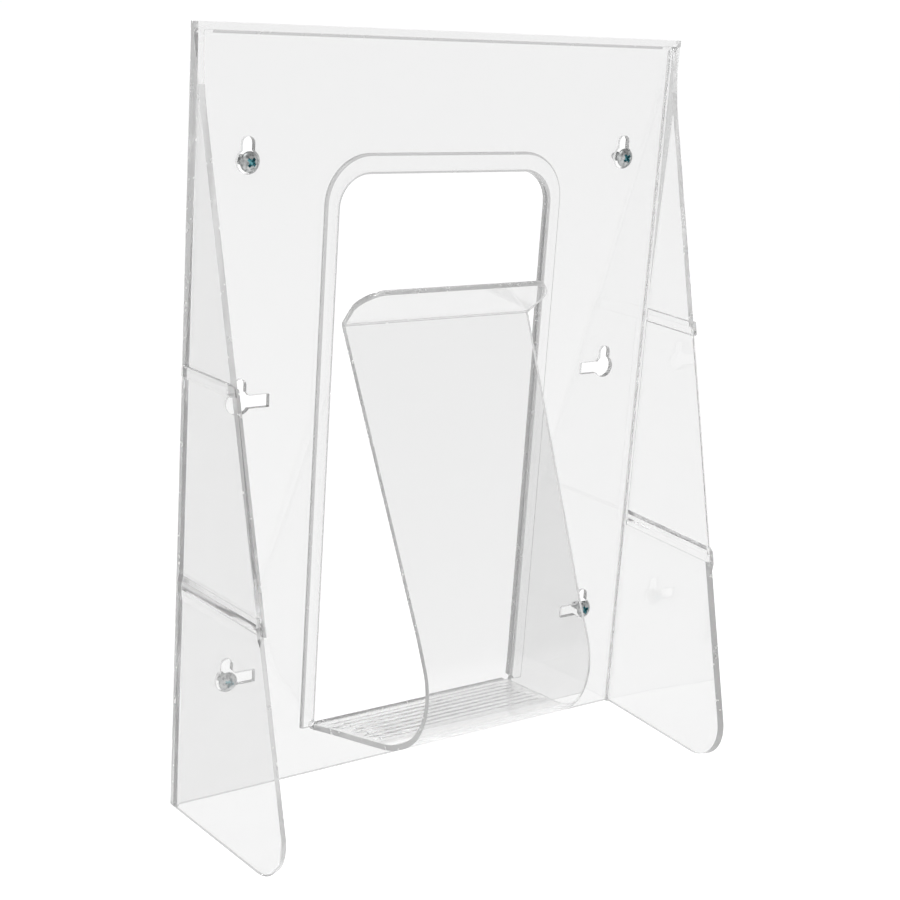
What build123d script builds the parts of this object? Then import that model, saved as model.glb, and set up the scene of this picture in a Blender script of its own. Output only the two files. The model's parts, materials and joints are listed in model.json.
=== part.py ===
"""Clear wall magazine rack: a back panel on four screws, a wing of three lapped panels on each side, and a tongue.

X runs across the rack, +Y goes into the wall and +Z is up. The origin is on the wall plane, in the middle of the
four wall screws. Heights are measured up from the rack's bottom edge, and up() turns them into Z.
"""
import os
from math import cos, radians, sin, tan

from build123d import *

os.makedirs("parts", exist_ok=True)

# Driving dimensions, mm
WIDTH = 232.0
HEIGHT = 307.3
PANEL = 2.4  # thickness of the back panel and of the tongue

RIM_DEPTH = 3.1  # how far the rim stands out from the back panel
RIM_WIDTH = 2.6
COVE = 1.5  # root radius where a rim or wing meets the back panel

WINDOW_HALF = 51.4
WINDOW_TOP = 252.0
WINDOW_BOTTOM = 21.9
WINDOW_RADIUS = 13.3
BEAD_SIDE = 6.7
BEAD_TOP = 8.2
BEAD_RADIUS = 20.0
BEAD_DEPTH = 1.5
BEAD_ROUND = 1.2  # on both of the bead's front edges
RELIEF_RADIUS = 2.0  # round reliefs in the window's two bottom corners

SCREW_SPACING_X = 184.0
SCREW_SPACING_Z = 207.3
LOW_KEYHOLE = 50.0  # height of the lower keyholes' round part
MID_KEYHOLE = 164.9
KEYHOLE_RADIUS = 4.75
SLOT_RADIUS = 2.6
SLOT_RISE = 6.8  # from the round part's centre up to the slot's end centre
SIDE_SLOT = 5.2  # height of the T keyholes' sideways slot
SIDE_SLOT_REACH = 13.0  # from the keyhole's centre line towards the middle

SCREW_RADIUS = 2.1
SCREW_LENGTH = 9.5  # under the head, point included
SCREW_POINT = 3.0
HEAD_RADIUS = 4.0
HEAD_HEIGHT = 2.4
HEAD_EDGE = 0.9  # height of the head's upright edge, below its dome
HEAD_GAP = 0.5  # the heads stand off the back panel, so that the rack can hook on
RECESS_SPAN = 4.4
RECESS_WIDTH = 1.0
RECESS_DEPTH = 1.4

WING = 2.6  # thickness of the wing panels
WING_TOE_IN = 0.05  # the wings close in by this much per mm of depth
WING_SLOPE = 0.2795  # depth gained per mm going down
WING_DEPTH = 83.3  # at the bottom edge
WING_BLEND = 95.0  # radius between the rim and the sloping front edge
FOOT_RADIUS = 16.0
# Heights in each lap: where its lower panel's or its upper panel's inner layer ends, and its proud outer band
LEFT_LAPS = (
    {"inner": 180.2, "band": (177.2, 182.0)},
    {"inner": 92.9, "band": (92.0, 96.6), "top": 99.4},
)
RIGHT_LAPS = (
    {"inner": 188.0, "band": (184.0, 190.0)},
    {"inner": 88.6, "band": (87.7, 93.0), "top": 95.1},
)
UPPER_LAP_PROUD = 1.4  # how far the outer layer of a lap stands out of the wing
LOWER_LAP_PROUD = 0.9
LOWER_LAP_RUNOUT = 3.0  # the lower band runs back into the wing over this height
LAP_ROUND = 0.8
MIDDLE_LEAN = 2.2  # the front edge of a middle panel is cut back by this much on its outer side
LOWER_LEAN = -1.0  # and that of a lower panel on its inner side

TONGUE_ROOT = 19.5  # height of the floor's lower face at the back panel
FOLD_Y = -2.7  # the fold's front line, so that its rounded back stays just in front of the wall
FLOOR_RISE = 9.6  # degrees
FRONT_LEAN = 26.9  # degrees back from upright
BEND_RADIUS = 29.3
FOLD = 192.4
TONGUE_FRONT_HALF = 41.0
TONGUE_FOLD_HALF = 46.0
TONGUE_WAIST = 79.4  # the front keeps its least width up to here
FRONT_FOOT = 34.2  # below this height the tongue's sides follow the floor's outline
FRONT_START = -57.0  # Y at which the floor's outline has narrowed to the front's width
LIP_LEAN = 47.0  # degrees forward from upright
LIP_LENGTH = 21.6
LIP_TOP_HALF = 47.5
LIP_RADIUS = 11.0
RIBS = 8
RIB_START = 4.0  # from the root to the first rib
RIB_PITCH = 4.4
RIB_WIDTH = 1.0
RIB_HEIGHT = 0.4

SCREW_TURNS = {  # degrees that each screw's cross recess is turned by
    ("lower", "left"): 20,
    ("lower", "right"): 35,
    ("upper", "left"): 0,
    ("upper", "right"): 10,
}

BOTTOM = -(LOW_KEYHOLE + SCREW_SPACING_Z / 2)
FAR = 400.0  # longer than anything in the rack


def up(height):
    """Z of a height above the rack's bottom edge."""
    return BOTTOM + height


def save(builder, label):
    """Labels a finished piece and writes its STEP file."""
    builder.part.label = label
    export_step(builder.part, f"parts/{label}.step")
    print(f"{label}: {len(builder.part.solids())} solid, {builder.part.volume:.0f} mm3")


# ---------------------------------------------------------------- back panel
def keyhole(height, side, side_slot):
    """One keyhole in an XZ sketch: a round hole, the narrow slot above it and, on a T, a slot towards the middle."""
    middle = side * SCREW_SPACING_X / 2
    with Locations((middle, up(height))):
        Circle(KEYHOLE_RADIUS)
    with Locations((middle, up(height + SLOT_RISE / 2))):
        SlotCenterToCenter(SLOT_RISE, 2 * SLOT_RADIUS, rotation=90)
    if side_slot:
        with Locations((middle - side * SIDE_SLOT_REACH / 2, up(height) + SIDE_SLOT / 2 - SLOT_RADIUS)):
            Rectangle(SIDE_SLOT_REACH, SIDE_SLOT)


def arch(half_width, bottom, top, radius):
    """An upright rectangle in an XZ sketch, with its two top corners rounded."""
    with BuildSketch(mode=Mode.PRIVATE) as outline:
        with Locations((0, up((bottom + top) / 2))):
            Rectangle(2 * half_width, top - bottom)
        fillet(outline.vertices().group_by(Axis.Y)[-1], radius)
    return outline.sketch


with BuildPart() as back_panel:
    with BuildSketch(Plane.XZ):
        with Locations((0, up(HEIGHT / 2))):
            Rectangle(WIDTH, HEIGHT)
    extrude(amount=PANEL)
    with BuildSketch(Plane.XZ.offset(PANEL)):
        with Locations((0, up(HEIGHT - RIM_WIDTH / 2))):
            Rectangle(WIDTH, RIM_WIDTH)
    extrude(amount=RIM_DEPTH)
    rim_root = back_panel.edges().filter_by(Axis.X).filter_by_position(
        Axis.Z, up(HEIGHT - RIM_WIDTH) - 0.1, up(HEIGHT - RIM_WIDTH) + 0.1
    )
    fillet(rim_root.sort_by(Axis.Y)[-1], COVE)
    with BuildSketch(Plane.XZ.offset(PANEL)):
        add(arch(WINDOW_HALF + BEAD_SIDE, WINDOW_BOTTOM, WINDOW_TOP + BEAD_TOP, BEAD_RADIUS))
    extrude(amount=BEAD_DEPTH)
    with BuildSketch(Plane.XZ):
        add(arch(WINDOW_HALF, WINDOW_BOTTOM, WINDOW_TOP, WINDOW_RADIUS))
    extrude(amount=PANEL + BEAD_DEPTH, mode=Mode.SUBTRACT)
    bead_face = back_panel.faces().filter_by(Axis.Y).group_by(Axis.Y)[1]
    fillet(bead_face.edges().filter_by_position(Axis.Z, up(WINDOW_BOTTOM) + 1, up(HEIGHT)), BEAD_ROUND)
    with BuildSketch(Plane.XZ):
        with Locations((-WINDOW_HALF, up(WINDOW_BOTTOM)), (WINDOW_HALF, up(WINDOW_BOTTOM))):
            Circle(RELIEF_RADIUS)
        for side in (-1, 1):
            keyhole(LOW_KEYHOLE + SCREW_SPACING_Z, side, side_slot=False)
            keyhole(MID_KEYHOLE, side, side_slot=True)
            keyhole(LOW_KEYHOLE, side, side_slot=True)
    extrude(amount=PANEL + BEAD_DEPTH, mode=Mode.SUBTRACT)
save(back_panel, "back_panel")


# ---------------------------------------------------------------- wings
def wing_depth(height):
    """How far the sloping front edge is in front of the back panel at a height."""
    return WING_DEPTH - WING_SLOPE * height


def front_edge(low, high):
    """Side outline of a wing panel, in (depth, Z): its front edge slopes, and the top one runs into the rim."""
    behind = -PANEL / 2
    rim_start = (WING_DEPTH - RIM_DEPTH) / WING_SLOPE
    with BuildSketch(mode=Mode.PRIVATE) as outline:
        with BuildLine():
            if high > rim_start:
                front = [(wing_depth(low), up(low)), (RIM_DEPTH, up(rim_start)), (RIM_DEPTH, up(high))]
            else:
                front = [(wing_depth(low), up(low)), (wing_depth(high), up(high))]
            Polyline((behind, up(low)), *front, (behind, up(high)), close=True)
        make_face()
        if high > rim_start:
            blended = outline.vertices().sort_by_distance((RIM_DEPTH, up(rim_start)))[0]
            fillet(blended, WING_BLEND)
        if low == 0:
            foot = outline.vertices().sort_by_distance((WING_DEPTH, up(0)))[0]
            fillet(foot, FOOT_RADIUS)
    return outline.sketch


def upper_section(lap):
    """(outward, Z) section of an upper panel: its end steps out over the top of the middle panel."""
    band_low, band_high = lap["band"]
    with BuildSketch(mode=Mode.PRIVATE) as section:
        with Locations((-WING / 2, up((lap["inner"] + HEIGHT - RIM_WIDTH) / 2))):
            Rectangle(WING, HEIGHT - RIM_WIDTH - lap["inner"])
        with Locations(((UPPER_LAP_PROUD - WING / 2) / 2, up((band_low + band_high) / 2))):
            Rectangle(UPPER_LAP_PROUD + WING / 2, band_high - band_low)
        fillet(section.vertices().group_by(Axis.X)[-1], LAP_ROUND)
    return section.sketch


def middle_section(upper_lap, lower_lap):
    """Section of a middle panel: full thickness between the laps, and the inner half of it inside them."""
    low, high = lower_lap["top"], upper_lap["band"][0]
    with BuildSketch(mode=Mode.PRIVATE) as section:
        with Locations((-WING / 2, up((low + high) / 2))):
            Rectangle(WING, high - low)
        with Locations((-WING * 3 / 4, up((upper_lap["inner"] + lower_lap["inner"]) / 2))):
            Rectangle(WING / 2, upper_lap["inner"] - lower_lap["inner"])
    return section.sketch


def lower_section(lap):
    """Section of a lower panel: its top slopes out over the end of the middle panel, then runs back in."""
    band_low, band_high = lap["band"]
    with BuildSketch(mode=Mode.PRIVATE) as section:
        with Locations((-WING / 2, up(lap["inner"] / 2))):
            Rectangle(WING, lap["inner"])
        with BuildLine():
            Polyline(
                (-WING / 2, up(band_low - LOWER_LAP_RUNOUT)),
                (-WING / 2, up(lap["top"])),
                (0, up(lap["top"])),
                (LOWER_LAP_PROUD, up(band_high)),
                (LOWER_LAP_PROUD, up(band_low)),
                (0, up(band_low - LOWER_LAP_RUNOUT)),
                close=True,
            )
        make_face()
        fillet(section.vertices().group_by(Axis.X)[-1], LAP_ROUND)
    return section.sketch


def wing_panel(label, side, section, outline, lean, root):
    """One panel of a wing: its section run forward, cut to its side outline and, at the root, to the back panel.

    lean is how much deeper the front edge is on the inner side than on the outer one. root is the bottom and
    the top of the small cove along the back panel. The panel is made for the right wing, then mirrored.
    """
    start = Vector(WIDTH / 2, -PANEL, 0)
    forward = Vector(-WING_TOE_IN, -1, 0).normalized()
    outward = Vector(1, -WING_TOE_IN, 0).normalized()
    across = outward * -1 + forward * (lean / WING)
    outside = UPPER_LAP_PROUD + 1
    with BuildPart() as panel:
        with BuildSketch(Plane(start - forward * PANEL, x_dir=outward, z_dir=forward)):
            add(section)
        extrude(amount=WIDTH)
        with BuildPart(mode=Mode.INTERSECT):
            with BuildSketch(Plane(start - across * outside, x_dir=forward, z_dir=outward * -1)):
                add(outline)
            extrude(amount=outside + WING + 1, dir=across)
        with BuildSketch(Plane.XY.offset(up(root[0]))):
            inner = WIDTH / 2 - WING
            with BuildLine():
                Line((inner - COVE, -PANEL), (inner + WING / 4, -PANEL))
                Line((inner + WING / 4, -PANEL), (inner + WING / 4, -PANEL - COVE))
                Line((inner + WING / 4, -PANEL - COVE), (inner - WING_TOE_IN * COVE, -PANEL - COVE))
                RadiusArc((inner - WING_TOE_IN * COVE, -PANEL - COVE), (inner - COVE, -PANEL), COVE)
            make_face()
        extrude(amount=root[1] - root[0])
        split(bisect_by=Plane.XZ.offset(PANEL), keep=Keep.TOP)
        add(back_panel.part, mode=Mode.SUBTRACT)
        if side < 0:
            mirror(about=Plane.YZ, mode=Mode.REPLACE)
    save(panel, label)


for name, side, laps in (("left", -1, LEFT_LAPS), ("right", 1, RIGHT_LAPS)):
    upper_lap, lower_lap = laps
    rim_foot = HEIGHT - RIM_WIDTH
    wing_panel(
        f"{name}_wing_upper", side, upper_section(upper_lap), front_edge(upper_lap["band"][0], rim_foot), 0,
        (upper_lap["inner"], rim_foot - COVE),
    )
    wing_panel(
        f"{name}_wing_middle", side, middle_section(upper_lap, lower_lap),
        front_edge(lower_lap["inner"], upper_lap["inner"]), MIDDLE_LEAN, (lower_lap["inner"], upper_lap["inner"]),
    )
    wing_panel(
        f"{name}_wing_lower", side, lower_section(lower_lap), front_edge(0, lower_lap["top"]), LOWER_LEAN,
        (0, lower_lap["inner"]),
    )


# ---------------------------------------------------------------- tongue and lip
def strip_section():
    """(Y, Z) section of the tongue and its lip in one: floor, bend, leaning front, fold and flared lip."""
    floor = tan(radians(FLOOR_RISE))
    front = tan(radians(FRONT_LEAN))
    reach = (FOLD - TONGUE_ROOT) * front / (1 + floor * front)
    root = (FOLD_Y + PANEL, up(TONGUE_ROOT - PANEL * floor))
    bend = (FOLD_Y - reach, up(TONGUE_ROOT + reach * floor))
    fold = (FOLD_Y, up(FOLD))
    lip_end = (FOLD_Y - LIP_LENGTH * sin(radians(LIP_LEAN)), up(FOLD) + LIP_LENGTH * cos(radians(LIP_LEAN)))
    with BuildSketch(mode=Mode.PRIVATE) as section:
        with BuildLine():
            FilletPolyline(root, bend, fold, radius=BEND_RADIUS)
            Line(fold, lip_end)
            offset(amount=PANEL, side=Side.RIGHT, kind=Kind.ARC)
        make_face()
    return section.sketch


lip_start = Plane(
    origin=(0, FOLD_Y, up(FOLD)),
    x_dir=(1, 0, 0),
    z_dir=(0, -sin(radians((LIP_LEAN - FRONT_LEAN) / 2)), cos(radians((LIP_LEAN - FRONT_LEAN) / 2))),
)
lip_face = Plane(
    origin=(0, FOLD_Y, up(FOLD)),
    x_dir=(1, 0, 0),
    z_dir=(0, -cos(radians(LIP_LEAN)), -sin(radians(LIP_LEAN))),
)
floor_face = Plane(
    origin=(0, FOLD_Y, up(TONGUE_ROOT)),
    x_dir=(1, 0, 0),
    z_dir=(0, sin(radians(FLOOR_RISE)), cos(radians(FLOOR_RISE))),
)

with BuildPart() as strip:
    with BuildSketch(Plane.YZ):
        add(strip_section())
    extrude(amount=WINDOW_HALF, both=True)

with BuildPart() as tongue:
    add(strip.part)
    split(bisect_by=lip_start, keep=Keep.BOTTOM)
    with BuildSketch(floor_face.offset(PANEL)):
        with Locations((0, -RIB_START - (RIBS - 1) * RIB_PITCH / 2)):
            with GridLocations(1, RIB_PITCH, 1, RIBS):
                Rectangle(2 * TONGUE_FRONT_HALF, RIB_WIDTH)
    extrude(amount=RIB_HEIGHT)
    with BuildSketch(Plane.XY.offset(up(0))):
        with BuildLine():
            Bezier(
                (WINDOW_HALF, -PANEL),
                (WINDOW_HALF - 4, -PANEL - 14),
                (TONGUE_FRONT_HALF + 5, FRONT_START + 14),
                (TONGUE_FRONT_HALF, FRONT_START),
            )
            Polyline(
                (TONGUE_FRONT_HALF, FRONT_START),
                (TONGUE_FRONT_HALF, -FAR),
                (FAR, -FAR),
                (FAR, -PANEL),
                (WINDOW_HALF, -PANEL),
            )
        make_face()
        mirror(about=Plane.YZ)
    extrude(amount=FRONT_FOOT, mode=Mode.SUBTRACT)
    with BuildSketch(Plane.XZ.offset(-PANEL)):
        with BuildLine():
            Polyline(
                (TONGUE_FRONT_HALF, up(FRONT_FOOT)),
                (TONGUE_FRONT_HALF, up(TONGUE_WAIST)),
                (TONGUE_FOLD_HALF, up(FOLD)),
                (TONGUE_FOLD_HALF, up(HEIGHT)),
                (FAR, up(HEIGHT)),
                (FAR, up(FRONT_FOOT)),
                close=True,
            )
        make_face()
        mirror(about=Plane.YZ)
    extrude(amount=FAR, mode=Mode.SUBTRACT)
    with BuildSketch(Plane.XZ.offset(PANEL)):
        with Locations((0, up(TONGUE_ROOT))):
            Rectangle(WIDTH, 2 * BEND_RADIUS)
    extrude(amount=-FAR, mode=Mode.SUBTRACT)
save(tongue, "magazine_tongue")

with BuildPart() as lip:
    add(strip.part)
    split(bisect_by=lip_start, keep=Keep.TOP)
    with BuildSketch(lip_face.offset(-2 * PANEL)) as lip_outline:
        with BuildLine():
            Polyline(
                (-TONGUE_FOLD_HALF, 0),
                (-LIP_TOP_HALF, LIP_LENGTH - LIP_RADIUS),
                (-LIP_TOP_HALF, LIP_LENGTH),
                (LIP_TOP_HALF, LIP_LENGTH),
                (LIP_TOP_HALF, LIP_LENGTH - LIP_RADIUS),
                (TONGUE_FOLD_HALF, 0),
                (TONGUE_FOLD_HALF, -LIP_RADIUS),
                (-TONGUE_FOLD_HALF, -LIP_RADIUS),
                close=True,
            )
        make_face()
        fillet(lip_outline.vertices().group_by(Axis.Y)[-1], LIP_RADIUS)
    extrude(amount=4 * PANEL, mode=Mode.INTERSECT)
save(lip, "tongue_lip")


# ---------------------------------------------------------------- screws
def screw(label, side, height, turn):
    """A pan-head wood screw whose shank goes through a keyhole's round part. turn is the cross recess's angle."""
    centre = (side * SCREW_SPACING_X / 2, 0, up(height))
    seat = -PANEL - HEAD_GAP
    crown = seat - HEAD_HEIGHT
    tip = seat + SCREW_LENGTH
    with BuildPart() as body:
        with BuildSketch(Plane(centre, x_dir=(1, 0, 0), z_dir=(0, 0, 1))):
            with BuildLine():
                TangentArc((0, crown), (HEAD_RADIUS, seat - HEAD_EDGE), tangent=(1, 0))
                Polyline(
                    (HEAD_RADIUS, seat - HEAD_EDGE),
                    (HEAD_RADIUS, seat),
                    (SCREW_RADIUS, seat),
                    (SCREW_RADIUS, tip - SCREW_POINT),
                    (0, tip),
                    (0, crown),
                )
            make_face()
        revolve(axis=Axis(centre, (0, 1, 0)))
        with BuildSketch(Plane((centre[0], crown, centre[2]), x_dir=(1, 0, 0), z_dir=(0, 1, 0))):
            Rectangle(RECESS_SPAN, RECESS_WIDTH, rotation=turn)
            Rectangle(RECESS_SPAN, RECESS_WIDTH, rotation=turn + 90)
        extrude(amount=RECESS_DEPTH, taper=12, mode=Mode.SUBTRACT)
    save(body, label)


for height, row in ((LOW_KEYHOLE, "lower"), (LOW_KEYHOLE + SCREW_SPACING_Z, "upper")):
    for side, column in ((-1, "left"), (1, "right")):
        screw(f"{row}_{column}_screw", side, height, SCREW_TURNS[row, column])
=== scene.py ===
"""Looks for the clear wall magazine rack: moulded plastic, zinc-plated screws, a pale floor, soft light."""
import json
from math import cos, pi, radians, sin

import bmesh
import bpy
from mathutils import Matrix, Vector
from mathutils.bvhtree import BVHTree

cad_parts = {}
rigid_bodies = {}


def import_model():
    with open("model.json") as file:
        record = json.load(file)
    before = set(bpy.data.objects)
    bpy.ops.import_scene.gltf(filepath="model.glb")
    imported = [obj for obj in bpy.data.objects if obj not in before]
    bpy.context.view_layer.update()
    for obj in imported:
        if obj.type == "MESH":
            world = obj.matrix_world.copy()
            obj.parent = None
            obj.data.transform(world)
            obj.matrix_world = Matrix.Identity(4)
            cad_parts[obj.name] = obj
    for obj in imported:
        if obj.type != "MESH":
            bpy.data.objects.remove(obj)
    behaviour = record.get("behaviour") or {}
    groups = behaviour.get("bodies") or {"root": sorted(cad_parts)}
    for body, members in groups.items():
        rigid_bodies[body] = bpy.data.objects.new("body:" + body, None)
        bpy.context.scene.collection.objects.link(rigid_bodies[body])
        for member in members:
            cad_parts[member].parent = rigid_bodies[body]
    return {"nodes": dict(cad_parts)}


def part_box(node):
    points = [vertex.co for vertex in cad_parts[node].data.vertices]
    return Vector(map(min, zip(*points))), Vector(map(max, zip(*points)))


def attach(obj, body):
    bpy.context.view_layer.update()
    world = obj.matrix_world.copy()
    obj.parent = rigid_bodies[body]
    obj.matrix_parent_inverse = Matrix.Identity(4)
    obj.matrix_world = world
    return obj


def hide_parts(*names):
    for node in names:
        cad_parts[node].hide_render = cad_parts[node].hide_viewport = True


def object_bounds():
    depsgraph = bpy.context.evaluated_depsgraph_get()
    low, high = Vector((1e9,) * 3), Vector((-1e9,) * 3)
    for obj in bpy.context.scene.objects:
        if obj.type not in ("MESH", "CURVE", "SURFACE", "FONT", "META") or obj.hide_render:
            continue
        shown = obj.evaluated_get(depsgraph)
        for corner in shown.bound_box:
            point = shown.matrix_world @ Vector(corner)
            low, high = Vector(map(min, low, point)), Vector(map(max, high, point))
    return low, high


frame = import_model()
cad_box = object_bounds()

MM = 0.001
SCREW_NODES = [name for name in frame["nodes"] if name.endswith("_screw")]
CLEAR_NODES = [name for name in frame["nodes"] if name not in SCREW_NODES]


def link(name, data):
    """A new object in the scene, for a mesh, a lamp or a camera."""
    obj = bpy.data.objects.new(name, data)
    bpy.context.collection.objects.link(obj)
    return obj


# ------------------------------------------------------------------ camera
CAMERA_AZIMUTH = radians(-36.67)
CAMERA_ELEVATION = radians(15.57)
CAMERA_ROLL = radians(3.98)
CAMERA_DISTANCE = 0.74077
CAMERA_LENS = 70.12
CAMERA_TARGET = Vector((0.01005, -0.0024, -0.01853))


def make_camera():
    """A camera that looks at its target from its azimuth and elevation, rolled about its line of sight."""
    data = bpy.data.cameras.new("camera")
    data.lens = CAMERA_LENS
    data.clip_start = 0.01
    data.clip_end = 50
    camera = link("camera", data)
    az, el, roll = CAMERA_AZIMUTH, CAMERA_ELEVATION, CAMERA_ROLL
    forward = Vector((-sin(az) * cos(el), cos(az) * cos(el), -sin(el)))
    right = Vector((cos(az), sin(az), 0))
    up = right.cross(forward)
    rolled_right = cos(roll) * right + sin(roll) * up
    rolled_up = -sin(roll) * right + cos(roll) * up
    camera.matrix_world = Matrix.Translation(CAMERA_TARGET - forward * CAMERA_DISTANCE) @ Matrix(
        (rolled_right, rolled_up, -forward)
    ).transposed().to_4x4()
    bpy.context.scene.camera = camera


# ------------------------------------------------------------------ materials
PLASTIC_IOR = 1.53
PLASTIC_TINT = 0.838  # grey level of light that has gone through the plastic
CLEARNESS = 0.94  # the rest is scattered, which lights the paths that stay trapped inside the plastic
SHADOW_TINT = 0.94
NOISE_LOW, NOISE_HIGH = 0.3, 0.7  # a noise texture's values nearly all lie between these


def new_material(name):
    """A node material with its parts: the material, its nodes, its links and its main shader."""
    material = bpy.data.materials.new(name)
    material.use_nodes = True
    nodes = material.node_tree.nodes
    return material, nodes, material.node_tree.links, nodes["Principled BSDF"]


def noise(nodes, links, scale, detail=2.0, stretch=(1, 1, 1)):
    """A noise texture in object coordinates, in cycles per metre."""
    place = nodes.new("ShaderNodeTexCoord")
    mapping = nodes.new("ShaderNodeMapping")
    mapping.inputs["Scale"].default_value = stretch
    texture = nodes.new("ShaderNodeTexNoise")
    texture.inputs["Scale"].default_value = scale
    texture.inputs["Detail"].default_value = detail
    links.new(place.outputs["Object"], mapping.inputs["Vector"])
    links.new(mapping.outputs["Vector"], texture.inputs["Vector"])
    return texture


def ramp(nodes, links, value, low, high):
    """Maps a noise texture's value onto low to high."""
    node = nodes.new("ShaderNodeMapRange")
    node.inputs["From Min"].default_value = NOISE_LOW
    node.inputs["From Max"].default_value = NOISE_HIGH
    node.inputs["To Min"].default_value = low
    node.inputs["To Max"].default_value = high
    links.new(value, node.inputs["Value"])
    return node.outputs["Result"]


def clear_plastic():
    """Polished clear plastic, with faint flow marks from moulding."""
    material, nodes, links, shader = new_material("clear_plastic")
    shader.inputs["Base Color"].default_value = (PLASTIC_TINT, PLASTIC_TINT, PLASTIC_TINT, 1)
    shader.inputs["Transmission Weight"].default_value = CLEARNESS
    shader.inputs["IOR"].default_value = PLASTIC_IOR
    flow = noise(nodes, links, 35, 2, (1, 1, 0.35))
    links.new(ramp(nodes, links, flow.outputs["Fac"], 0.0, 0.02), shader.inputs["Roughness"])
    bump = nodes.new("ShaderNodeBump")
    bump.inputs["Strength"].default_value = 0.02
    bump.inputs["Distance"].default_value = 1 * MM
    links.new(flow.outputs["Fac"], bump.inputs["Height"])
    links.new(bump.outputs["Normal"], shader.inputs["Normal"])
    pass_light(nodes, links, shader)
    return material


def shaded_edge_plastic(name, level, transmission):
    """The plastic's narrow sides in painted shade: a grey tone and less transmission stand in for the light
    that is bent and piped inside the panels, so they scatter part of the light and look pale grey.
    """
    material, nodes, links, shader = new_material(name)
    shader.inputs["Base Color"].default_value = (level, level, level, 1)
    shader.inputs["Transmission Weight"].default_value = transmission
    shader.inputs["IOR"].default_value = PLASTIC_IOR
    grain = noise(nodes, links, 260, 3)
    links.new(ramp(nodes, links, grain.outputs["Fac"], 0.08, 0.3), shader.inputs["Roughness"])
    pass_light(nodes, links, shader)
    return material


def pass_light(nodes, links, shader):
    """Lets lamps shine through the plastic, as real clear plastic does, without a dark shadow under it."""
    path = nodes.new("ShaderNodeLightPath")
    through = nodes.new("ShaderNodeBsdfTransparent")
    through.inputs["Color"].default_value = (SHADOW_TINT, SHADOW_TINT, SHADOW_TINT, 1)
    mix = nodes.new("ShaderNodeMixShader")
    links.new(path.outputs["Is Shadow Ray"], mix.inputs["Fac"])
    links.new(shader.outputs["BSDF"], mix.inputs[1])
    links.new(through.outputs["BSDF"], mix.inputs[2])
    links.new(mix.outputs["Shader"], nodes["Material Output"].inputs["Surface"])


def seam_material():
    """The planes where two clear panels meet: the plastic is one piece there, so light passes straight on."""
    material, nodes, links, shader = new_material("clear_seam")
    nodes.remove(shader)
    through = nodes.new("ShaderNodeBsdfTransparent")
    links.new(through.outputs["BSDF"], nodes["Material Output"].inputs["Surface"])
    return material


def zinc(name, dark, light):
    """Zinc plating, mottled between a dark and a light tone."""
    material, nodes, links, shader = new_material(name)
    shader.inputs["Metallic"].default_value = 1
    grain = noise(nodes, links, 900, 3)
    colour = nodes.new("ShaderNodeMix")
    colour.data_type = "RGBA"
    colour.inputs["A"].default_value = (*dark, 1)
    colour.inputs["B"].default_value = (*light, 1)
    links.new(ramp(nodes, links, grain.outputs["Fac"], 0, 1), colour.inputs["Factor"])
    links.new(colour.outputs["Result"], shader.inputs["Base Color"])
    links.new(ramp(nodes, links, grain.outputs["Fac"], 0.22, 0.4), shader.inputs["Roughness"])
    return material


def floor_material():
    """A matt white floor that glows a little, so that it stays as pale as the background."""
    material, _, _, shader = new_material("pale_floor")
    shader.inputs["Base Color"].default_value = (0.35, 0.35, 0.35, 1)
    shader.inputs["Roughness"].default_value = 0.9
    shader.inputs["Specular IOR Level"].default_value = 0
    shader.inputs["Emission Color"].default_value = (1, 1, 1, 1)
    shader.inputs["Emission Strength"].default_value = 0.83
    return material


# ------------------------------------------------------------------ clear pieces
GROW = 0.004 * MM  # each panel is thickened by this much, so that panels that touch fuse
SLIVER = 0.001 * MM  # edges shorter than this are collapsed
IN_PLANE = radians(0.3)  # faces that turn by less are merged
SHARP = radians(28)  # corners that turn by more stay sharp
DEEPER_THAN_A_WALL = 6.5 * MM  # more plastic than this behind a face makes it a narrow side
UNDER_THE_SKIN = 0.1 * MM  # where rays through the plastic start
STEEP = cos(radians(50))
SQUARE_ON = 0.1  # how far a side square to the panel may lean, as the forward part of its normal
ALMOST_FLAT = cos(radians(8))
FAR = 0.5  # cutters reach past the whole object
OVERLAP = 1 * MM  # how far cutters run into each other or into the wings' roots
CLEARANCE = 5 * MM  # how far cutters stand clear of a panel, or reach behind the plate's face
INSIDE_OF_SIDES = 0.05 * MM
TONGUE_ROOT = 40 * MM  # above this height over its underside, the tongue stands free of the plate


def grown_copy(node):
    """A closed copy of a node's mesh, a hair larger all round."""
    mesh = frame["nodes"][node].data.copy()
    mesh.materials.clear()
    bm = bmesh.new()
    bm.from_mesh(mesh)
    bmesh.ops.remove_doubles(bm, verts=bm.verts, dist=SLIVER)
    bm.normal_update()
    for vert in bm.verts:
        vert.co += vert.normal * GROW * vert.calc_shell_factor()
    bm.to_mesh(mesh)
    bm.free()
    return link("grown_" + node, mesh)


def combine(name, base, others, operation):
    """A new object: base joined with, or cut by, the others. Cut faces take the cutters' material."""
    collection = bpy.data.collections.new(name + "_operands")
    for other in others:
        collection.objects.link(other)
    modifier = base.modifiers.new("combine", "BOOLEAN")
    modifier.operation = operation
    modifier.operand_type = "COLLECTION"
    modifier.collection = collection
    modifier.solver = "EXACT"
    modifier.material_mode = "TRANSFER"
    mesh = bpy.data.meshes.new_from_object(base.evaluated_get(bpy.context.evaluated_depsgraph_get()))
    base.modifiers.remove(modifier)
    bpy.data.collections.remove(collection)
    return link(name, mesh)


def cutter(name, low, high, material):
    """A box from corner to corner, whose material marks the faces that it cuts."""
    mesh = bpy.data.meshes.new(name)
    bm = bmesh.new()
    bmesh.ops.create_cube(bm, size=1)
    for vert in bm.verts:
        vert.co = [(a + b) / 2 + (b - a) * c for a, b, c in zip(low, high, vert.co)]
    bm.to_mesh(mesh)
    bm.free()
    mesh.materials.append(material)
    return link(name, mesh)


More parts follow.
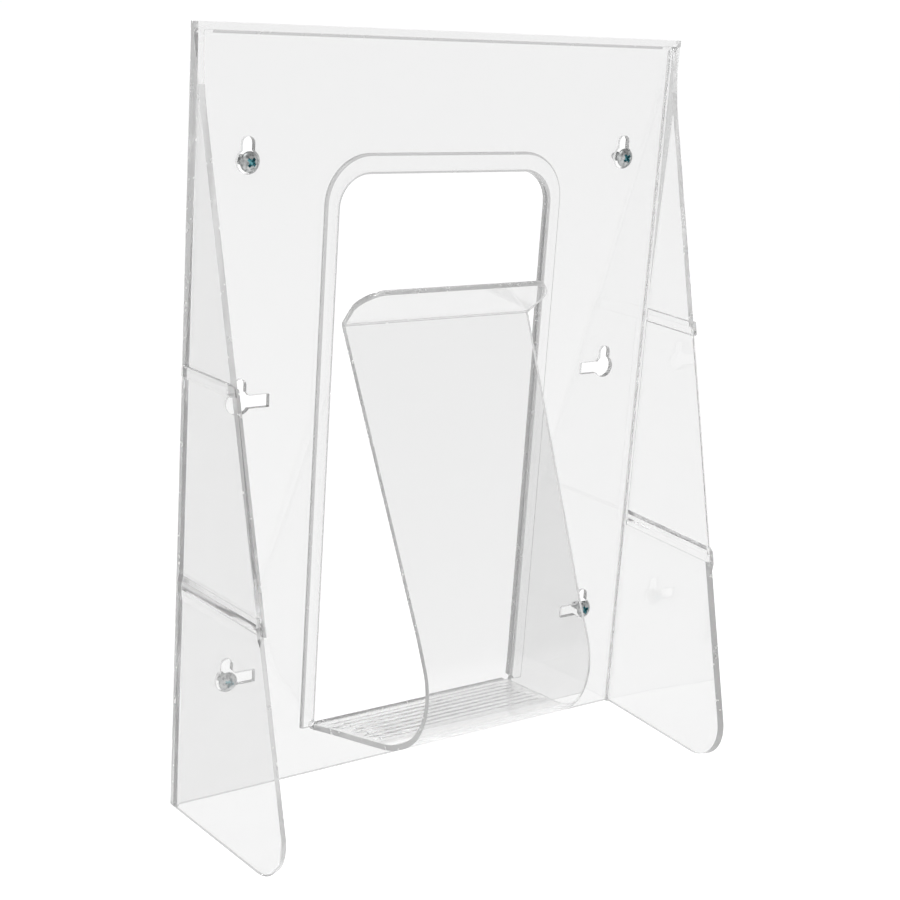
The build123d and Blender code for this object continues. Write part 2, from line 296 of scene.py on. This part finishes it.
def panel_regions():
    """Each panel but the back one: the boxes that it fills, as (low corner, high corner)."""
    regions = {}
    plate_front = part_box("left_wing_upper")[1].y
    for side in ("left", "right"):
        boxes = [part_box(f"{side}_wing_{tier}") for tier in ("lower", "middle", "upper")]
        seams = [(boxes[i][1].z + boxes[i + 1][0].z) / 2 for i in (0, 1)]
        levels = [cad_box[0].z - FAR, *seams, boxes[2][1].z]
        inner = min(abs(boxes[0][0].x), abs(boxes[0][1].x)) - OVERLAP
        for tier, low, high in zip(("lower", "middle", "upper"), levels, levels[1:]):
            x = (inner, FAR) if side == "right" else (-FAR, -inner)
            regions[f"{side}_wing_{tier}"] = [((x[0], -FAR, low), (x[1], plate_front, high))]
    (_, _, under), (half, _, fold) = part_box("magazine_tongue")
    half -= INSIDE_OF_SIDES
    above_root = under + TONGUE_ROOT
    lip_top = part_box("tongue_lip")[1].z
    regions["magazine_tongue"] = [
        ((-half, -FAR, under - CLEARANCE), (half, plate_front, above_root)),
        ((-half, -FAR, above_root - OVERLAP), (half, CLEARANCE, fold)),
    ]
    regions["tongue_lip"] = [((-half, -FAR, fold), (half, CLEARANCE, lip_top + CLEARANCE))]
    return regions


def surface_kind(face, tree, node):
    """wall, edge (a narrow side or steep rounding) or opening (a cove or the side of a hole)."""
    centre, step = face.calc_center_median(), face.normal * UNDER_THE_SKIN
    _, far_normal, _, depth = tree.ray_cast(centre - step, -face.normal)
    if depth is None:
        return "wall"
    if node != "back_panel":
        narrow = depth > DEEPER_THAN_A_WALL or abs(far_normal.dot(face.normal)) < STEEP
        return "edge" if narrow else "wall"
    tilt = abs(face.normal.y)
    if tilt > ALMOST_FLAT:
        return "wall"
    if tilt > SQUARE_ON:
        return "opening" if tilt > STEEP else "edge"
    if depth < DEEPER_THAN_A_WALL:
        return "wall"
    return "opening" if tree.ray_cast(centre + step, face.normal)[3] is not None else "edge"


def close_shell(bm, seam_slot):
    """Keeps a mesh's largest shell, and closes it with seam faces where the cuts left it open."""
    unseen, shells = set(bm.faces), []
    while unseen:
        shell = [unseen.pop()]
        for face in shell:
            for edge in face.edges:
                for other in edge.link_faces:
                    if other in unseen:
                        unseen.remove(other)
                        shell.append(other)
        shells.append(shell)
    shells.sort(key=lambda shell: sum(face.calc_area() for face in shell))
    stray = [face for shell in shells[:-1] for face in shell]
    bmesh.ops.delete(bm, geom=stray, context="FACES")
    rims = [edge for edge in bm.edges if edge.is_boundary]
    for face in bmesh.ops.holes_fill(bm, edges=rims, sides=0)["faces"]:
        face.material_index = seam_slot


def shade_edges_and_smooth_clear(piece, node, tree, painted_shade_materials):
    """Gives a piece's edges and openings their grey painted-shade materials, smooths its curves, attaches it
    to the rack and hides the CAD part that it replaces.
    """
    mesh = piece.data
    slots = {"wall": 0}
    for kind, material in painted_shade_materials.items():
        slots[kind] = len(mesh.materials)
        mesh.materials.append(material)
    bm = bmesh.new()
    bm.from_mesh(mesh)
    bmesh.ops.remove_doubles(bm, verts=bm.verts, dist=SLIVER)
    bmesh.ops.dissolve_degenerate(bm, edges=bm.edges, dist=SLIVER)
    bmesh.ops.dissolve_limit(
        bm, angle_limit=IN_PLANE, verts=bm.verts, edges=bm.edges, delimit={"MATERIAL"}
    )
    close_shell(bm, mesh.materials.find("clear_seam"))
    bmesh.ops.triangulate(bm, faces=[face for face in bm.faces if len(face.verts) > 4])
    # edges and openings take the grey painted-shade materials, which stand in for light bent inside the
    # plastic
    for face in bm.faces:
        if face.material_index == 0:
            face.material_index = slots[surface_kind(face, tree, node)]
    bm.to_mesh(mesh)
    bm.free()
    mesh.shade_smooth()
    mesh.set_sharp_from_angle(angle=SHARP)
    weighted = piece.modifiers.new("even_flats", "WEIGHTED_NORMAL")
    weighted.keep_sharp = True
    weighted.weight = 100
    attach(piece, "rack")
    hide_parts(node)


def make_clear_pieces(material, painted_shade_materials, seam):
    """Fuses the panels into one moulding, then parts it again along planes that light passes untouched."""
    grown = [grown_copy(node) for node in CLEAR_NODES]
    whole = combine("whole", grown[0], grown[1:], "UNION")
    whole.data.materials.clear()
    whole.data.materials.append(material)
    tree = BVHTree.FromObject(whole, bpy.context.evaluated_depsgraph_get())
    cutters = {}
    for node, boxes in panel_regions().items():
        cutters[node] = [cutter(f"cut_{node}_{i}", *box, seam) for i, box in enumerate(boxes)]
    for node, cuts in cutters.items():
        shape = cuts[0] if len(cuts) == 1 else combine("cut_" + node, cuts[0], cuts[1:], "UNION")
        cutters[node] = [shape]
        piece = combine("clear_" + node, whole, [shape], "INTERSECT")
        shade_edges_and_smooth_clear(piece, node, tree, painted_shade_materials)
    back = combine("clear_back_panel", whole, [shape for [shape] in cutters.values()], "DIFFERENCE")
    shade_edges_and_smooth_clear(back, "back_panel", tree, painted_shade_materials)
    for obj in list(bpy.data.objects):
        if obj.name.startswith(("grown_", "cut_", "whole")):
            bpy.data.objects.remove(obj)


# ------------------------------------------------------------------ screws
AROUND = 64  # points round a screw
HEAD_RADIUS = 4.0 * MM
HEAD_HEIGHT = 2.4 * MM
HEAD_EDGE = 0.9 * MM  # the head's upright side, under the dome
HEAD_CORNER = 0.2 * MM  # the rounding where the side meets the underside
BRIM_INSET, BRIM_DROP = 0.15 * MM, 0.12 * MM  # the rounding where the dome meets the side
DOME_STEPS = 14
SHANK_RADIUS = 2.1 * MM
ROOT_RADIUS = 1.45 * MM
PITCH = 1.6 * MM
ROWS_PER_PITCH = 10
RIDGE_HALF_WIDTH = 0.32  # of a thread, as a part of the pitch
POINT = 3.0 * MM  # length of the tapered end
POINT_BLUNTNESS = 0.7
THREAD_START = 2.6 * MM  # plain neck under the head
NECK_TO_SHANK = 0.86
RECESS_DEPTH = 1.5 * MM
RECESS_SPAN = 5.0 * MM
RECESS_WIDTH = 1.25 * MM
RAY_SPAN, RAY_WIDTH, RAY_DEPTH = 0.95, 0.28, 0.3  # the fine rays, as parts of the arms' measures
RECESS_TOP_WIDTH, RECESS_FLOOR_WIDTH, RECESS_FLOOR_SPAN = 1.15, 0.7, 0.55  # the taper
RECESS_PROUD = 0.5 * MM  # how far the cutter stands out of the head
SCREW_SHARP = radians(35)
RECESS_TURNS = {  # degrees
    "upper_left_screw": 38,
    "upper_right_screw": 50,
    "lower_left_screw": 20,
    "lower_right_screw": 65,
}


def thread_radius(depth, length, turn):
    """Radius of the threaded shank at a depth below the head and at an angle, given as a part of a turn."""
    to_tip = min(1, (length - depth) / POINT)
    if depth < THREAD_START:
        return SHANK_RADIUS * NECK_TO_SHANK
    phase = (depth / PITCH - turn) % 1
    ridge = max(0, 1 - abs(phase - 0.5) / RIDGE_HALF_WIDTH)
    grown_in = min(1, (depth - THREAD_START) / PITCH)
    return (ROOT_RADIUS + (SHANK_RADIUS - ROOT_RADIUS) * ridge * grown_in) * to_tip ** POINT_BLUNTNESS


def screw_rings(length):
    """Rings from the crown to the tip, each as (distance from the crown, radius at each angle)."""
    dome = HEAD_HEIGHT - HEAD_EDGE
    sphere = (HEAD_RADIUS ** 2 + dome ** 2) / (2 * dome)
    rings = []
    for i in range(1, DOME_STEPS + 1):
        radius = (HEAD_RADIUS - BRIM_INSET) * i / DOME_STEPS
        rings.append((sphere - (sphere ** 2 - radius ** 2) ** 0.5, [radius] * AROUND))
    rings.append((dome + BRIM_DROP, [HEAD_RADIUS] * AROUND))
    rings.append((HEAD_HEIGHT - HEAD_CORNER, [HEAD_RADIUS] * AROUND))
    rings.append((HEAD_HEIGHT, [HEAD_RADIUS - HEAD_CORNER] * AROUND))
    rings.append((HEAD_HEIGHT, [SHANK_RADIUS] * AROUND))
    shank = length - HEAD_HEIGHT
    rows = int(shank / PITCH * ROWS_PER_PITCH)
    for i in range(1, rows):
        depth = shank * i / rows
        radii = [thread_radius(depth, shank, k / AROUND) for k in range(AROUND)]
        rings.append((HEAD_HEIGHT + depth, radii))
    return rings


def recess(material):
    """A tapered cross, with four fine rays between its arms, that sinks into the head."""
    arms = [(RECESS_SPAN, RECESS_WIDTH, RECESS_DEPTH, 90 * k) for k in (0, 1)]
    ray = (RECESS_SPAN * RAY_SPAN, RECESS_WIDTH * RAY_WIDTH, RECESS_DEPTH * RAY_DEPTH)
    arms += [(*ray, 45 + 90 * k) for k in (0, 1)]
    made = []
    for span, width, depth, angle in arms:
        bm = bmesh.new()
        bmesh.ops.create_cube(bm, size=1)
        a = radians(angle)
        for vert in bm.verts:
            deep = vert.co.y > 0
            x = vert.co.x * span * (RECESS_FLOOR_SPAN if deep else 1)
            z = vert.co.z * width * (RECESS_FLOOR_WIDTH if deep else RECESS_TOP_WIDTH)
            vert.co = (x * cos(a) - z * sin(a), depth if deep else -RECESS_PROUD, x * sin(a) + z * cos(a))
        bmesh.ops.recalc_face_normals(bm, faces=bm.faces)
        mesh = bpy.data.meshes.new("recess_arm")
        bm.to_mesh(mesh)
        bm.free()
        mesh.materials.append(material)
        made.append(link("recess_arm", mesh))
    whole = combine("recess_cross", made[0], made[1:], "UNION")
    for obj in made:
        bpy.data.objects.remove(obj)
    return whole


def screw_mesh(length, plating, recess_material):
    """One screw along +Y, with its crown at the origin."""
    bm = bmesh.new()
    crown = bm.verts.new((0, 0, 0))
    tip = bm.verts.new((0, length, 0))
    rings = []
    for drop, radii in screw_rings(length):
        angles = [2 * pi * k / AROUND for k in range(AROUND)]
        rings.append([bm.verts.new((r * cos(a), drop, r * sin(a))) for r, a in zip(radii, angles)])
    for k in range(AROUND):
        n = (k + 1) % AROUND
        bm.faces.new((crown, rings[0][k], rings[0][n]))
        bm.faces.new((tip, rings[-1][n], rings[-1][k]))
        for upper, lower in zip(rings, rings[1:]):
            bm.faces.new((upper[k], lower[k], lower[n], upper[n]))
    bmesh.ops.recalc_face_normals(bm, faces=bm.faces)
    mesh = bpy.data.meshes.new("screw_blank")
    bm.to_mesh(mesh)
    bm.free()
    mesh.materials.append(plating)
    blank = link("screw_blank", mesh)
    cross = recess(recess_material)
    screw = combine("screw", blank, [cross], "DIFFERENCE")
    made = screw.data
    for obj in (blank, cross, screw):
        bpy.data.objects.remove(obj)
    made.shade_smooth()
    made.set_sharp_from_angle(angle=SCREW_SHARP)
    return made


def make_screws(plating, recess_material):
    """A screw in the place of each CAD one, each with its recess at its own angle."""
    low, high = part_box(SCREW_NODES[0])
    pattern = screw_mesh(high.y - low.y, plating, recess_material)
    for node in SCREW_NODES:
        low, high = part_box(node)
        centre = (low + high) / 2
        mesh = pattern.copy()
        turn = Matrix.Rotation(radians(RECESS_TURNS[node]), 4, "Y")
        mesh.transform(Matrix.Translation((centre.x, low.y, centre.z)) @ turn)
        screw = link("zinc_" + node, mesh)
        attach(screw, "screw_set")
        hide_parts(node)


# ------------------------------------------------------------------ stage
FRONT_DARKNESS = -0.3  # how much lower the dark part of the sky comes in front than overhead
SKY_FADE = (0.3, 0.75)  # heights between which the sky goes from its bright to its dark part
SKY_LEVELS = (1.02, 0.4)
FLOOR_HALF_WIDTH = 6.0
FLOOR_GAP = 0.4 * MM  # keeps the undersides, a hair larger than the CAD ones, out of the floor
KEY_LIGHT_PLACE = (-0.7, -0.9, 1.6)
KEY_LIGHT_SIZE = 0.9
KEY_LIGHT_POWER = 8
LIGHT_BOUNCES = 32  # light that enters a cut edge is reflected many times inside the panel


def make_floor(material):
    low = cad_box[0].z - FLOOR_GAP
    mesh = bpy.data.meshes.new("floor")
    r = FLOOR_HALF_WIDTH
    mesh.from_pydata([(-r, -r, low), (r, -r, low), (r, r, low), (-r, r, low)], [], [(0, 1, 2, 3)])
    floor = link("floor", mesh)
    mesh.materials.append(material)


def make_key_light():
    """One soft square light, up on the left in front, that looks at the origin."""
    data = bpy.data.lights.new("key", "AREA")
    data.shape = "RECTANGLE"
    data.size = data.size_y = KEY_LIGHT_SIZE
    data.energy = KEY_LIGHT_POWER
    light = link("key", data)
    light.location = KEY_LIGHT_PLACE
    light.rotation_mode = "QUATERNION"
    light.rotation_quaternion = (-Vector(KEY_LIGHT_PLACE)).to_track_quat("-Z", "Y")


def make_world():
    """White round the horizon, darker overhead and most in front: edges need something dark to bend."""
    world = bpy.data.worlds.new("studio")
    bpy.context.scene.world = world
    world.use_nodes = True
    nodes, links = world.node_tree.nodes, world.node_tree.links
    place = nodes.new("ShaderNodeTexCoord")
    split = nodes.new("ShaderNodeSeparateXYZ")
    links.new(place.outputs["Generated"], split.inputs["Vector"])
    height = nodes.new("ShaderNodeMath")
    height.operation = "MULTIPLY_ADD"
    height.inputs[1].default_value = FRONT_DARKNESS
    links.new(split.outputs["Y"], height.inputs[0])
    links.new(split.outputs["Z"], height.inputs[2])
    fade = nodes.new("ShaderNodeMapRange")
    fade.interpolation_type = "SMOOTHSTEP"
    fade.inputs["From Min"].default_value, fade.inputs["From Max"].default_value = SKY_FADE
    fade.inputs["To Min"].default_value, fade.inputs["To Max"].default_value = SKY_LEVELS
    links.new(height.outputs["Value"], fade.inputs["Value"])
    links.new(fade.outputs["Result"], nodes["Background"].inputs["Color"])


plastic = clear_plastic()
plating = zinc("zinc_plating", (0.24, 0.25, 0.25), (0.62, 0.63, 0.63))
# recess plating: its teal tone, with darker values than the head's plating as painted shade inside the cross
teal_and_shaded_recess = zinc("zinc_recess", (0.07, 0.24, 0.27), (0.24, 0.50, 0.54))
# painted shade: pale grey on the narrow sides, darker grey on coves and the sides of holes, in place of light
# bent inside the plastic
sides = {
    "edge": shaded_edge_plastic("clear_plastic_edge_painted_shade", 0.66, 0.5),
    "opening": shaded_edge_plastic("clear_plastic_opening_painted_shade", 0.45, 0.7),
}
make_clear_pieces(plastic, sides, seam_material())
make_screws(plating, teal_and_shaded_recess)

make_camera()
make_floor(floor_material())
make_world()
make_key_light()
bpy.context.scene.view_settings.view_transform = "Standard"
for kind in ("max_bounces", "glossy_bounces", "transmission_bounces", "transparent_max_bounces"):
    setattr(bpy.context.scene.cycles, kind, LIGHT_BOUNCES)
